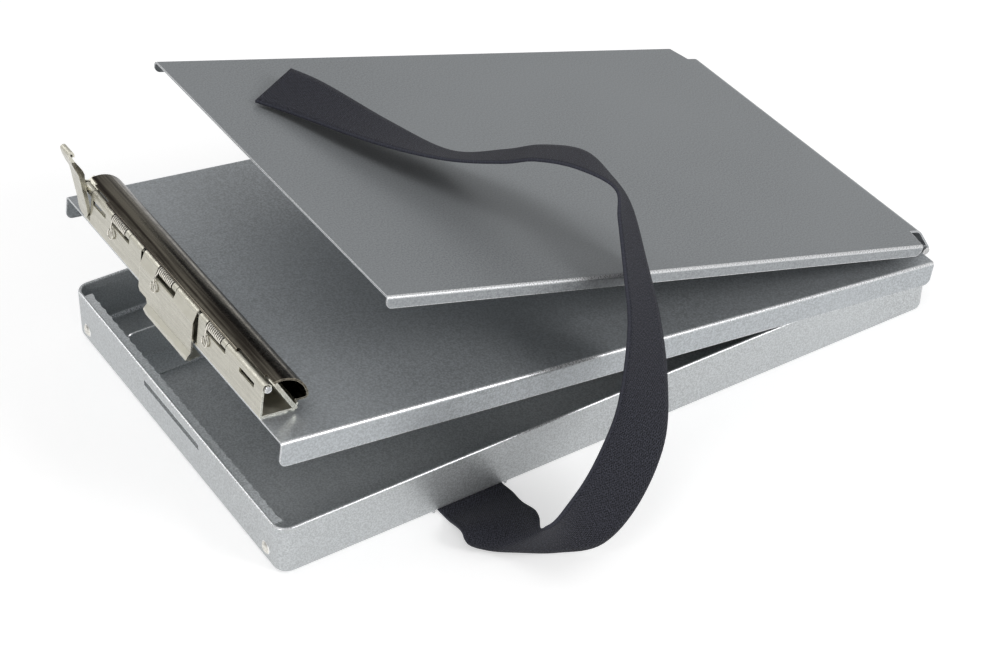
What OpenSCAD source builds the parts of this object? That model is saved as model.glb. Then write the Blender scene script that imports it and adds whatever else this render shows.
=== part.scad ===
// Storage clipboard box: a shallow metal tray, a clip-bearing writing plate that
// closes it, and a cover over the papers, all hung on one long hinge pin.
// Millimetres. X runs along the length with the clip at -X, Z is up and the
// origin is the centre of the tray's underside.

/* [Tray] */
// Length of the tray along X
tray_l = 412; // [320:1:440]
// Width of the tray along Y
tray_w = 229; // [210:1:260]
// Height of the tray wall
tray_h = 30; // [28:0.5:50]
// Sheet thickness of tray, plate and cover
sheet_t = 1; // [0.8:0.1:1.3]
// Outer radius of the tray's upright corners
corner_r = 8; // [6:0.5:14]
// Outer radius of the bend between floor and wall
floor_bend_r = 3.5; // [2:0.5:5]
// Height of the folded hem along the rim
rim_hem_h = 5; // [3:0.5:7]

/* [Front lip] */
// Reach of the scalloped lip inward from the outside of the front wall
lip_reach = 7; // [5.4:0.1:9]
// Drop of the lip's top below the rim
lip_drop = 2; // [1:0.5:5]
// Spacing of the scallops along the lip
scallop_pitch = 7.1; // [6:0.1:12]
// Depth of each scallop
scallop_depth = 0.8; // [0.5:0.1:1.5]
// Distance of the lip's end from the outside of each side wall
lip_end_gap = 9; // [8:0.5:20]
// Height of the domed rivets above the underside
lip_rivet_z = 9.3; // [8:0.1:11]
// Distance of the domed rivets from the centre plane
lip_rivet_y = 100; // [80:1:104]

/* [Divider] */
// Place of the divider's upright face along Y
divider_y = 72; // [55:1:85]
// Height of the divider's top above the underside
divider_h = 20; // [12:0.5:26]
// Length of the divider
divider_l = 176; // [80:1:240]
// Gap between the divider's end and the inside of the front wall
divider_front_gap = 8; // [7:0.5:20]
// Width of the divider's foot
divider_foot_w = 17; // [10:0.5:24]
// Radius of the divider's upper front corner
divider_corner_r = 6; // [2:0.5:9]

/* [Hinge] */
// Length of the hinge knuckle row
hinge_l = 206; // [180:1:210]
// Outer radius of the hinge knuckles
knuckle_r = 3.2; // [2.6:0.1:3.6]
// Radius of the hinge pin
hinge_pin_r = 1.5; // [1:0.1:1.8]
// Radial clearance of a knuckle on its pin
pin_fit = 0.05; // [0.03:0.01:0.09]
// Gap between neighbouring knuckles
knuckle_gap = 0.4; // [0.2:0.1:0.8]
// Times the tray, plate and cover knuckles repeat
knuckle_sets = 8; // [4:1:10]
// Thickness of the two hinge leaves
leaf_t = 0.8; // [0.6:0.1:1]
// Height of the leaf on the tray's rear wall
tray_leaf_h = 18; // [12:0.5:22]
// Depth of the leaf under the plate
plate_leaf_d = 16; // [12:0.5:24]
// Number of rivets along each leaf
leaf_rivets_n = 5; // [3:1:7]
// Angle by which the writing plate stands open
plate_open = 7.6; // [0:0.1:30]
// Angle between the cover and the writing plate
cover_lift = 9.1; // [0:0.1:30]

/* [Writing plate] */
// Gap between the tray's rim and the closed plate
plate_gap = 1.3; // [1.2:0.1:3]
// Gap between the tray's sides and the plate's flanges
plate_side_gap = 1.2; // [0.6:0.1:2]
// Reach of the plate past the outside of the tray's front wall
plate_overhang = 1.1; // [0.8:0.1:3]
// Depth of the plate's side flanges
plate_flange_h = 14.2; // [8:0.2:16]
// Outer radius of the bends along the plate and cover
edge_bend_r = 2; // [1.5:0.1:3]
// Radius of the flanges' lower corners
flange_corner_r = 4; // [2:0.5:6]

/* [Cover] */
// Height of the cover's top above the plate's top when closed
cover_rise = 12.2; // [9:0.2:20]
// Distance from the plate's front edge to the cover's front edge
clip_zone = 41.5; // [36:0.5:70]
// Gap between the plate's flanges and the cover's flanges
cover_side_gap = 0.5; // [0.3:0.1:1.5]
// Depth of the cover's side flanges
cover_flange_h = 6.5; // [5:0.1:8]
// Outer radius of the bend down to the hinge
cover_bend_r = 8; // [4:0.5:9]
// Angle of the cover's hinge flange below the flat
cover_bend_angle = 42; // [38:1:46]

/* [Clip] */
// Length of the clip base
clip_l = 190.4; // [170:0.2:210]
// Depth of the clip base from front to back
clip_d = 18.7; // [17:0.1:22]
// Sheet thickness of the clip parts
clip_t = 1.1; // [0.9:0.1:1.3]
// Height of the clip pin above the writing plate
clip_pin_h = 16.7; // [15:0.1:20]
// Radius of the clip pin
clip_pin_r = 1.3; // [1:0.1:1.4]
// Outer radius of the rolls around the clip pin
roll_r = 2.5; // [2.4:0.1:2.8]
// Half width of the opening left for the latch
latch_bay = 31; // [26:0.5:34]
// Width of each spring window
spring_bay_w = 20.5; // [19:0.5:24]
// Spacing of the three springs
spring_pitch = 51.5; // [49:0.5:56]
// Shift of the middle spring from the centre plane
spring_shift = 3; // [0:0.5:5]
// Outer radius of the jaw's round back
jaw_r = 15.9; // [14:0.1:18]
// Reach of the jaw past each end of the base
jaw_overhang = 2.3; // [1.5:0.1:4]
// Distance from each jaw end to the narrower front part
jaw_notch_l = 7; // [4:0.5:12]

/* [Springs] */
// Diameter of the spring wire
wire_d = 1.2; // [0.9:0.1:1.3]
// Inner radius of the spring coils
coil_in_r = 1.6; // [1.5:0.05:1.8]
// Turns in each spring
coil_turns = 9.5; // [7.5:1:9.5]
// Width of the loop at the end of the front leg
loop_w = 6.4; // [5:0.2:8]

/* [Latch] */
// Width of the latch
latch_w = 57; // [48:0.5:58]
// Gap between the base's front and the latch's face
latch_standoff = 0.6; // [0.4:0.1:1.5]
// Drop of the latch's bottom below the plate's top
latch_drop = 11.5; // [10:0.5:14]
// Reach of the latch's nose behind its face
nose_reach = 5.6; // [4.5:0.1:6]
// Reach of the latch's rolled foot in front of its face
finger_reach = 2; // [1.5:0.1:3]

/* [Lever] */
// Width of the lever
lever_w = 11; // [9:0.5:14]
// Height of the lever's blade above the clip pin
lever_h = 25.2; // [20:0.2:30]
// Lean of the lever's blade in front of the clip pin
lever_lean = 15.6; // [12:0.2:20]
// Depth of the lever's side flange where it is deepest
lever_d = 3.6; // [3:0.1:4.5]

/* [Strap] */
// Width of the strap
strap_w = 38; // [25:1:40]
// Thickness of the strap
strap_t = 1.5; // [1.2:0.1:2]
// Place of the strap's exit along X
strap_x = -96; // [-110:1:-90]
// Length of the strap held under the tray
strap_tail = 18; // [12:1:24]

/* [Hidden] */
$fn = 64;

// Tray, hinge and sheet positions, all with plate and cover closed
tray_x = tray_l / 2;
tray_y = tray_w / 2;
leaf_run_gap = 0.4;
hinge_x = tray_x + leaf_t + knuckle_r + leaf_run_gap;
pin_rise = 1;
hinge_z = tray_h + pin_rise;
plate_top = tray_h + plate_gap + sheet_t;
plate_x0 = -tray_x - plate_overhang;
plate_setback = 0.7;
plate_x1 = tray_x - plate_setback;
plate_y = tray_y + plate_side_gap + sheet_t;
cover_top = plate_top + cover_rise;
cover_x0 = plate_x0 + clip_zone;
cover_y = plate_y + cover_side_gap + sheet_t;
cover_notch = 17.3;           // its side flanges stop this far before the tray's end
cover_notch_x = tray_x - cover_notch;
cover_shoulder = 3.6;         // slope of that end, from the flange to the hinge's width
cover_lap = 6;
cut = 1;                      // overrun of every cutting solid
lap = 0.05;                   // joined shapes run into each other by this much

// Hinge knuckles: cover, plate and tray take turns, the cover has both ends
knuckle_n = 3 * knuckle_sets + 1;
knuckle_pitch = hinge_l / knuckle_n;
knuckle_l = knuckle_pitch - knuckle_gap;
flange_clear = 0.5;           // sheet cut back round other parts' knuckles
room_gap = 0.75 * knuckle_gap;
function knuckle_y(k) = -hinge_l / 2 + k * knuckle_pitch + knuckle_gap / 2;
hinge_pin_over = 0.5;
hinge_head_r = hinge_pin_r + 0.8;
hinge_head_t = 0.8;

// Cover bend: tangent to the flat on top and to the knuckles below
bend_nx = sin(cover_bend_angle);
bend_nz = cos(cover_bend_angle);
bend_in = 0.05;               // keeps the flange's face inside its knuckles
bend_k = bend_nx * hinge_x + bend_nz * hinge_z + knuckle_r - bend_in;
bend_cz = cover_top - cover_bend_r;
bend_cx = (bend_k - cover_bend_r - bend_nz * bend_cz) / bend_nx;
flange_len = bend_nz * (hinge_x + knuckle_r * bend_nx - bend_cx - cover_bend_r * bend_nx)
           - bend_nx * (hinge_z + knuckle_r * bend_nz - bend_cz - cover_bend_r * bend_nz);

// Rivets
rivet_r = 1.6;
rivet_fit = 0.05;
rivet_head_r = 3.7;
rivet_dome_h = 1.5;
rivet_tail_r = 2.4;
rivet_tail_h = 0.8;
small_rivet_r = 1.2;
small_head_r = 2.3;
small_dome_h = 0.8;
leaf_rivet_end = 12;          // from the leaf's end to its last rivet
leaf_rivet_clear = 1;
leaf_rivet_y = min(hinge_l / 2 - leaf_rivet_end,
                   tray_y - corner_r - small_head_r - leaf_rivet_clear);
function spread(i, n, reach) = n > 1 ? -reach + 2 * reach * i / (n - 1) : 0;

// Front lip
lip_l = tray_w - 2 * lip_end_gap;
lip_top = tray_h - lip_drop;
lip_leg_z = lip_rivet_z - 5;
hem_clear = 0.3;
scallop_r = (pow(scallop_pitch / 2, 2) + pow(scallop_depth, 2)) / (2 * scallop_depth);
scallop_n = floor((lip_l - 4) / scallop_pitch);

// Clip: u runs back from the plate's front edge, n up from the plate's top
pin_u = roll_r;
clip_bore_r = clip_pin_r + pin_fit;
clip_y = clip_l / 2;
spring_y = [spring_shift - spring_pitch, spring_shift, spring_shift + spring_pitch];
spring_floor = clip_pin_h - roll_r - wire_d;
jaw_reach = jaw_r - clip_t - roll_r - 0.06;
jaw_lean = 59;
jaw_u = pin_u + jaw_reach * cos(jaw_lean);
jaw_n = clip_pin_h - jaw_reach * sin(jaw_lean);
jaw_lip_angle = 12;
jaw_lip_bend = 1.9;
jaw_return_l = 4.8;
jaw_brow_angle = 106;
jaw_l = clip_l + 2 * jaw_overhang;
jaw_front_l = jaw_l - 2 * jaw_notch_l;
jaw_t = 2 * clip_t;
brow_l = 1.4;
brow_strip_l = 2.6;
brow_strip_y = [-66, 74];
foot_gap = 0.3;
ear_gap = 0.1;
ear_y = clip_y + jaw_overhang + ear_gap;
lever_y = ear_y + clip_t;
lever_y0 = lever_y + clip_t - lever_w;
lever_gap = 0.6;
base_far_y = lever_y0 - lever_gap;   // the front wall stops short of the lever
base_window_w = 14.6;
base_window_end = 7.9;        // from the wall's near end to its window
base_window_far = 2.5;        // from the wall's far end to its window
base_window_y = [base_window_end + base_window_w / 2 - clip_y,
                 base_far_y - base_window_far - base_window_w / 2];
base_window_n = 12.4;
base_window_h = 3;
base_rivet_end = 27;
base_rivet_y = clip_y - base_rivet_end;
base_rivet_u = 8.6;

// Latch
latch_in = -latch_standoff;
latch_out = -latch_standoff - clip_t;
latch_bend_n = clip_pin_h - 4.7;
nose_rise = 1.2;
foot_n = 5.8;                 // where the face turns out into the foot
foot_mid_n = 9;
latch_step_n = 3.5;           // the far end of the face stops here
latch_step_l = 10;
latch_corner = 1.6;
slot_clear = 0.7;
slot_z0 = plate_top - latch_drop - slot_clear;
slot_h = nose_rise + clip_t + 2 * slot_clear;
slot_w = latch_w + 4;

// Springs
coil_r = coil_in_r + wire_d / 2;
coil_pitch = wire_d + 0.25;
coil_l = coil_turns * coil_pitch;
coil_end_gap = 1.4;
wire_sides_n = 8;
coil_steps_n = 14;

// Strap: the way its middle runs and which way its width points, to scale
chan_h = strap_t + 0.7;
chan_w = strap_w + 4;
chan_l = strap_tail + 3;
strap_z = strap_t / 2 + 0.3;
strap_rivet_x = 10;
strap_plate_l = 12;
strap_rivet_y = -tray_y + strap_tail / 2 + 1;
strap_way = [
    [0, strap_tail, 0], [0, strap_tail / 3, 0], [0, -1, 0], [0, -9, 1], [-4, -28, 9],
    [-7, -48, 14], [-2, -58, 18], [10, -63, 19], [27, -66, 25], [46, -61, 36],
    [65, -51, 53], [75, -40, 73], [82, -27, 98], [86, -12, 119], [91, 6, 140],
    [95, 23, 147], [87, 40, 153], [75, 59, 150], [64, 74, 143], [46, 98, 136],
    [27, 130, 138], [8, 173, 141], [-3, 191, 143]];
strap_turn = [
    [-38, 0, 0], [-38, 0, 0], [-38, 0, 0], [-38, 1, -1], [-36, 0, 0], [-16, 22, -25],
    [-1, 20, -31], [9, 11, -35], [13, -6, -36], [19, -10, -31], [28, -5, -26],
    [32, 6, -20], [30, 14, -19], [28, 20, -16], [25, 24, -16], [18, 29, -16],
    [23, 27, -14], [22, 27, -15], [21, 27, -16], [21, 26, -18], [24, 26, -11],
    [30, 22, -4], [32, 20, -2]];
strap_steps_n = 3;

// ---------- shared shapes ----------

module plate_pose() {
    translate([hinge_x, 0, hinge_z]) rotate([0, plate_open, 0])
        translate([-hinge_x, 0, -hinge_z]) children();
}

module cover_pose() {
    translate([hinge_x, 0, hinge_z]) rotate([0, plate_open + cover_lift, 0])
        translate([-hinge_x, 0, -hinge_z]) children();
}

module clip_pose() {
    plate_pose() translate([plate_x0, 0, plate_top]) children();
}

// Extrudes an outline drawn in X and Z along Y, centred
module along_y(length) {
    rotate([90, 0, 0]) linear_extrude(length, center = true) children();
}

// Extrudes an outline drawn in X and Z along Y from y0
module from_y(y0, length) {
    translate([0, y0 + length, 0]) rotate([90, 0, 0]) linear_extrude(length) children();
}

// Ring round a pin that runs along Y
module ring_2d(outer, inner) {
    difference() {
        circle(outer);
        circle(inner);
    }
}

// Rivet along +Z: dome above z = 0, shank and flat tail below the grip
module rivet(shank, head, dome, grip, tail) {
    cap_r = (head * head + dome * dome) / (2 * dome);
    intersection() {
        translate([0, 0, dome - cap_r]) sphere(cap_r);
        cylinder(r = head + cut, h = dome + cut);
    }
    translate([0, 0, -grip]) cylinder(r = shank, h = grip);
    translate([0, 0, -grip - rivet_tail_h]) cylinder(r = tail, h = rivet_tail_h);
}

// Sheet folded down along both sides, drawn in Y and Z with its top at z = 0
module channel_2d(half_w, depth) {
    module skin(w, h, r) {
        translate([-w + r, -h]) square([2 * (w - r), h]);
        translate([-w, -h]) square([2 * w, h - r]);
        for (s = [-1, 1]) translate([s * (w - r), -r]) circle(r);
    }
    difference() {
        skin(half_w, depth, edge_bend_r);
        translate([0, -sheet_t]) skin(half_w - sheet_t, depth, edge_bend_r - sheet_t);
    }
}

// Side view of a flanged sheet with rounded lower corners, top at z = 0
module side_2d(x0, x1, depth) {
    r = min(flange_corner_r, depth - 1);
    translate([x0, r - depth]) square([x1 - x0, depth - r + cut]);
    translate([x0 + r, -depth]) square([x1 - x0 - 2 * r, depth]);
    for (x = [x0 + r, x1 - r]) translate([x, r - depth]) circle(r);
}

module flanged_sheet(x0, x1, half_w, depth) {
    intersection() {
        translate([x0, 0, 0]) rotate([90, 0, 90]) linear_extrude(x1 - x0)
            channel_2d(half_w, depth);
        along_y(2 * half_w + 2 * cut) side_2d(x0, x1, depth);
    }
}

// ---------- tray ----------

// Wall, bend and floor edge of the tray; the outside of the wall is at x = 0
module wall_2d() {
    translate([-sheet_t, floor_bend_r]) square([sheet_t, tray_h - sheet_t - floor_bend_r]);
    intersection() {
        translate([-floor_bend_r, floor_bend_r])
            ring_2d(floor_bend_r, floor_bend_r - sheet_t);
        translate([-floor_bend_r, 0]) square(floor_bend_r);
    }
    translate([-corner_r, 0]) square([corner_r - floor_bend_r, sheet_t]);
    translate([-2 * sheet_t, tray_h - rim_hem_h]) square([sheet_t, rim_hem_h - sheet_t]);
    translate([-sheet_t, tray_h - sheet_t]) intersection() {
        circle(sheet_t);
        translate([-sheet_t, 0]) square([2 * sheet_t, sheet_t]);
    }
}

module tray_shell() {
    inner_x = tray_x - corner_r;
    inner_y = tray_y - corner_r;
    for (a = [0, 180]) {
        rotate([0, 0, a]) translate([tray_x, 0, 0]) along_y(2 * inner_y) wall_2d();
        rotate([0, 0, a + 90]) translate([tray_y, 0, 0]) along_y(2 * inner_x) wall_2d();
        rotate([0, 0, a]) translate([inner_x, inner_y, 0]) rotate_extrude(angle = 90)
            translate([corner_r, 0]) wall_2d();
        rotate([0, 0, a]) translate([-inner_x, inner_y, 0]) rotate([0, 0, 90])
            rotate_extrude(angle = 90) translate([corner_r, 0]) wall_2d();
    }
    translate([-inner_x, -inner_y, 0]) cube([2 * inner_x, 2 * inner_y, sheet_t]);
}

module tray() {
    color("silver") difference() {
        union() {
            tray_shell();
            // raised channel over the strap
            translate([strap_x - chan_w / 2 - sheet_t, -tray_y + sheet_t / 2, 0])
                cube([chan_w + 2 * sheet_t, chan_l, chan_h + sheet_t]);
        }
        translate([strap_x - chan_w / 2, -tray_y - cut, -cut])
            cube([chan_w, chan_l + cut - sheet_t / 2, chan_h + cut]);
        // slot that catches the latch's nose
        translate([-tray_x - cut, -slot_w / 2, slot_z0])
            cube([sheet_t + 2 * cut, slot_w, slot_h]);
        for (s = [-1, 1])
            translate([-tray_x - cut, s * lip_rivet_y, lip_rivet_z]) rotate([0, 90, 0])
                cylinder(r = rivet_r + rivet_fit, h = sheet_t + 2 * cut);
        for (i = [0 : leaf_rivets_n - 1])
            translate([tray_x - sheet_t - cut, spread(i, leaf_rivets_n, leaf_rivet_y),
                       tray_leaf_rivet_z])
                rotate([0, 90, 0]) cylinder(r = small_rivet_r + rivet_fit,
                                            h = sheet_t + 2 * cut);
        for (i = [0 : 2])
            translate([divider_rivet_x(i), divider_rivet_y, -cut])
                cylinder(r = small_rivet_r + rivet_fit, h = sheet_t + 2 * cut);
        for (s = [-1, 1])
            translate([strap_x + s * strap_rivet_x, strap_rivet_y, 0])
                cylinder(r = small_rivet_r + rivet_fit, h = chan_h + sheet_t + cut);
    }
}

module front_lip() {
    hem_z = tray_h - rim_hem_h - hem_clear;
    color("darkgray") translate([-tray_x, 0, 0]) difference() {
        along_y(lip_l) {
            translate([sheet_t, lip_leg_z]) square([sheet_t, hem_z - lip_leg_z]);
            // joggle past the hem
            translate([sheet_t, hem_z - sheet_t]) square([2 * sheet_t, sheet_t]);
            translate([2 * sheet_t, hem_z - sheet_t])
                square([sheet_t, lip_top - hem_z + sheet_t]);
            translate([2 * sheet_t, lip_top - sheet_t])
                square([lip_reach - 2 * sheet_t, sheet_t]);
        }
        for (i = [0 : scallop_n - 1])
            translate([lip_reach - scallop_depth + scallop_r,
                       (i - (scallop_n - 1) / 2) * scallop_pitch, lip_top - sheet_t - cut])
                cylinder(r = scallop_r, h = sheet_t + 2 * cut);
        translate([0, -slot_w / 2, slot_z0])
            cube([3 * sheet_t + cut, slot_w, slot_h]);
        for (s = [-1, 1])
            translate([0, s * lip_rivet_y, lip_rivet_z]) rotate([0, 90, 0])
                cylinder(r = rivet_r + rivet_fit, h = 2 * sheet_t + cut);
    }
}

module lip_rivets() {
    color("wheat") for (s = [-1, 1])
        translate([-tray_x, s * lip_rivet_y, lip_rivet_z]) rotate([0, -90, 0])
            rivet(rivet_r, rivet_head_r, rivet_dome_h, 2 * sheet_t, rivet_tail_r);
}

// Divider: an angle strip whose foot is riveted to the tray floor
divider_x0 = -tray_x + sheet_t + divider_front_gap;
divider_rivet_y = divider_y - divider_foot_w / 2;
function divider_rivet_x(i) = divider_x0 + divider_l * (1 + 2 * i) / 6;

module divider() {
    color("darkgray") difference() {
        union() {
            from_y(divider_y, sheet_t) {
                translate([divider_x0, sheet_t])
                    square([divider_l, divider_h - sheet_t - divider_corner_r]);
                translate([divider_x0 + divider_corner_r, sheet_t])
                    square([divider_l - divider_corner_r, divider_h - sheet_t]);
                translate([divider_x0 + divider_corner_r, divider_h - divider_corner_r])
                    circle(divider_corner_r);
            }
            translate([divider_x0, divider_y - divider_foot_w, sheet_t])
                cube([divider_l, divider_foot_w + sheet_t, sheet_t]);
        }
        for (i = [0 : 2])
            translate([divider_rivet_x(i), divider_rivet_y, 0])
                cylinder(r = small_rivet_r + rivet_fit, h = 2 * sheet_t + cut);
    }
}

module divider_rivets() {
    color("wheat") for (i = [0 : 2])
        translate([divider_rivet_x(i), divider_rivet_y, 0]) {
            cylinder(r = small_rivet_r, h = 2 * sheet_t);
            translate([0, 0, 2 * sheet_t]) rivet_cap(small_head_r, small_dome_h);
        }
}

// Domed head alone, flat side at z = 0
module rivet_cap(head, dome) {
    cap_r = (head * head + dome * dome) / (2 * dome);
    intersection() {
        translate([0, 0, dome - cap_r]) sphere(cap_r);
        cylinder(r = head + cut, h = dome + cut);
    }
}

// ---------- hinge ----------

tray_leaf_top = hinge_z - knuckle_r + leaf_t;
tray_leaf_rivet_z = tray_leaf_top - tray_leaf_h / 2;
plate_leaf_rivet_x = plate_x1 - plate_leaf_d / 2;

// Knuckles of one kind, each a ring on the pin: 0 cover, 1 plate, 2 tray
module knuckles(kind) {
    for (k = [kind : 3 : knuckle_n - 1])
        from_y(knuckle_y(k), knuckle_l) translate([hinge_x, hinge_z])
            ring_2d(knuckle_r, hinge_pin_r + pin_fit);
}

// Room round every knuckle that isn't of this kind
module knuckle_room(kind) {
    for (k = [0 : knuckle_n - 1]) if (k % 3 != kind)
        from_y(knuckle_y(k) - room_gap, knuckle_l + 2 * room_gap)
            translate([hinge_x, hinge_z]) circle(knuckle_r + flange_clear);
}

module pin_room() {
    from_y(-hinge_l / 2 - cut, hinge_l + 2 * cut) translate([hinge_x, hinge_z])
        circle(hinge_pin_r + pin_fit);
}

module tray_hinge_leaf() {
    color("gainsboro") difference() {
        union() {
            translate([tray_x, -hinge_l / 2, tray_leaf_top - tray_leaf_h])
                cube([leaf_t, hinge_l, tray_leaf_h]);
            for (k = [2 : 3 : knuckle_n - 1])
                translate([tray_x, knuckle_y(k), hinge_z - knuckle_r])
                    cube([hinge_x - tray_x, knuckle_l, leaf_t]);
            knuckles(2);
        }
        for (i = [0 : leaf_rivets_n - 1])
            translate([tray_x - cut, spread(i, leaf_rivets_n, leaf_rivet_y),
                       tray_leaf_rivet_z])
                rotate([0, 90, 0]) cylinder(r = small_rivet_r + rivet_fit,
                                            h = leaf_t + 2 * cut);
    }
}

module tray_leaf_rivets() {
    color("wheat") for (i = [0 : leaf_rivets_n - 1])
        translate([tray_x + leaf_t, spread(i, leaf_rivets_n, leaf_rivet_y),
                   tray_leaf_rivet_z])
            rotate([0, 90, 0]) rivet(small_rivet_r, small_head_r, small_dome_h,
                                     leaf_t + sheet_t, small_head_r);
}

module hinge_pin() {
    pin_l = hinge_l + 2 * hinge_pin_over;
    color("gainsboro") {
        from_y(-pin_l / 2, pin_l) translate([hinge_x, hinge_z]) circle(hinge_pin_r);
        for (y = [-pin_l / 2 - hinge_head_t, pin_l / 2])
            from_y(y, hinge_head_t) translate([hinge_x, hinge_z]) circle(hinge_head_r);
    }
}

module writing_plate() {
    color("silver") plate_pose() difference() {
        translate([0, 0, plate_top])
            flanged_sheet(plate_x0, plate_x1, plate_y, plate_flange_h);
        for (y = [-base_rivet_y, 0, base_rivet_y])
            translate([plate_x0 + base_rivet_u, y, plate_top - sheet_t - cut])
                cylinder(r = small_rivet_r + rivet_fit, h = sheet_t + 2 * cut);
        for (i = [0 : leaf_rivets_n - 1])
            translate([plate_leaf_rivet_x, spread(i, leaf_rivets_n, leaf_rivet_y),
                       plate_top - sheet_t - cut])
                cylinder(r = small_rivet_r + rivet_fit, h = sheet_t + 2 * cut);
    }
}

module plate_hinge_leaf() {
    leaf_z = plate_top - sheet_t - leaf_t;
    color("gainsboro") plate_pose() difference() {
        union() {
            difference() {
                translate([plate_x1 - plate_leaf_d, -hinge_l / 2, leaf_z])
                    cube([hinge_x - plate_x1 + plate_leaf_d, hinge_l, leaf_t]);
                knuckle_room(1);
            }
            knuckles(1);
        }
        pin_room();
        for (i = [0 : leaf_rivets_n - 1])
            translate([plate_leaf_rivet_x, spread(i, leaf_rivets_n, leaf_rivet_y),
                       leaf_z - cut])
                cylinder(r = small_rivet_r + rivet_fit, h = leaf_t + 2 * cut);
    }
}

module plate_leaf_rivets() {
    color("wheat") plate_pose() for (i = [0 : leaf_rivets_n - 1])
        translate([plate_leaf_rivet_x, spread(i, leaf_rivets_n, leaf_rivet_y), plate_top]) {
            rivet_cap(small_head_r, small_dome_h);
            translate([0, 0, -sheet_t - leaf_t])
                cylinder(r = small_rivet_r, h = sheet_t + leaf_t);
        }
}

// Side view of the cover's rear: flat, bend and flange down to the knuckles
module cover_rear_2d() {
    translate([cover_notch_x - cover_lap, cover_top - sheet_t])
        square([bend_cx - cover_notch_x + cover_lap, sheet_t]);
    translate([bend_cx, bend_cz]) intersection() {
        ring_2d(cover_bend_r, cover_bend_r - sheet_t);
        polygon([[-lap, 0], [-lap, 2 * cover_bend_r],
                 [2 * cover_bend_r * bend_nx, 2 * cover_bend_r],
                 [2 * cover_bend_r * bend_nx, 2 * cover_bend_r * bend_nz]]);
    }
    translate([bend_cx, bend_cz]) rotate(-cover_bend_angle)
        translate([-lap, cover_bend_r - sheet_t]) square([flange_len + lap, sheet_t]);
}

module cover() {
    color("silver") cover_pose() difference() {
        union() {
            translate([0, 0, cover_top])
                flanged_sheet(cover_x0, cover_notch_x, cover_y, cover_flange_h);
            difference() {
                along_y(hinge_l) cover_rear_2d();
                knuckle_room(0);
            }
            knuckles(0);
            for (s = [-1, 1]) translate([cover_notch_x, 0, cover_top - sheet_t])
                linear_extrude(sheet_t)
                    polygon([[-lap, s * (cover_y - edge_bend_r)],
                             [cover_shoulder, s * (hinge_l / 2 - lap)],
                             [-lap, s * (hinge_l / 2 - lap)]]);
        }
        pin_room();
    }
}

// ---------- clip ----------

module clip_ring(y0, length) {
    from_y(y0, length) translate([pin_u, clip_pin_h]) ring_2d(roll_r, clip_bore_r);
}

module clip_bore(length) {
    along_y(length) translate([pin_u, clip_pin_h]) circle(clip_bore_r);
}

// Windows in the rolls where the springs sit
module spring_bays(floor_n) {
    for (y = spring_y)
        translate([-4 * cut, y - spring_bay_w / 2, floor_n])
            cube([pin_u + roll_r + 5 * cut, spring_bay_w, clip_pin_h + roll_r + cut]);
}

module clip_base() {
    color("lightgray") clip_pose() difference() {
        union() {
            translate([0, -clip_y, 0]) cube([clip_d, clip_l, clip_t]);
            for (i = [0, 1]) {
                y0 = [-clip_y, latch_bay][i];
                side_l = [clip_y, base_far_y][i] - latch_bay;
                difference() {
                    translate([0, y0, 0]) cube([clip_t, side_l, clip_pin_h]);
                    translate([-cut, base_window_y[i] - base_window_w / 2, base_window_n])
                        cube([clip_t + 2 * cut, base_window_w, base_window_h]);
                }
                clip_ring(y0, side_l);
            }
        }
        spring_bays(spring_floor);
        clip_bore(clip_l + 2 * cut);
        for (y = [-base_rivet_y, 0, base_rivet_y])
            translate([base_rivet_u, y, -cut])
                cylinder(r = small_rivet_r + rivet_fit, h = clip_t + 2 * cut);
    }
}

module base_rivets() {
    color("wheat") clip_pose() for (y = [-base_rivet_y, 0, base_rivet_y])
        translate([base_rivet_u, y, clip_t])
            rivet(small_rivet_r, small_head_r, small_dome_h, clip_t + sheet_t, small_head_r);
}

clip_pin_gap = 0.3;
clip_pin_end = lever_y + clip_t + clip_pin_gap;
clip_pin_head_r = 1.8;
clip_pin_head_t = 1;

module clip_pin() {
    color("gainsboro") clip_pose() translate([pin_u, 0, clip_pin_h]) rotate([90, 0, 0]) {
        translate([0, 0, -clip_pin_end]) cylinder(r = clip_pin_r, h = clip_pin_end + clip_y);
        translate([0, 0, -clip_pin_end - clip_pin_head_t])
            cylinder(r = clip_pin_head_r, h = clip_pin_head_t);
        translate([0, 0, clip_y + clip_pin_gap])
            cylinder(r = clip_pin_head_r, h = clip_pin_head_t);
        translate([0, 0, clip_y - cut]) cylinder(r = clip_pin_r, h = cut + clip_pin_gap);
    }
}

// Jaw plate: drawn along its slope, x down the slope and y away from the pin
jaw_slope = 54.4;
roll_clear = 0.67;
jaw_back = roll_r + roll_clear;
jaw_top = 1;
jaw_end = (clip_pin_h + jaw_back * cos(jaw_slope) - clip_t - foot_gap) / sin(jaw_slope);
jaw_rivet_x = jaw_reach * cos(jaw_lean - jaw_slope);
jaw_stud_end = 27;
jaw_stud_y = [jaw_stud_end - clip_y, -22, clip_y - jaw_stud_end];
jaw_foot_l = 3.4;
jaw_foot_tilt = 22;
jaw_fit = 0.1;               // between the jaw plate's edge and the bar's inside
knuckle_w = 4.2;
knuckle_end = 0.4;            // room between a jaw knuckle and its window
jaw_tube_y = base_far_y + ear_gap + 0.3;   // a longer knuckle behind the lever
leg_hole_x = 5.2;

module on_slope_2d() {
    translate([pin_u, clip_pin_h]) rotate(-jaw_slope) children();
}

module jaw_rivet_at(y) {
    translate([pin_u, y, clip_pin_h]) rotate([0, jaw_slope, 0])
        translate([jaw_rivet_x, 0, jaw_back + jaw_t]) children();
}

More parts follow.
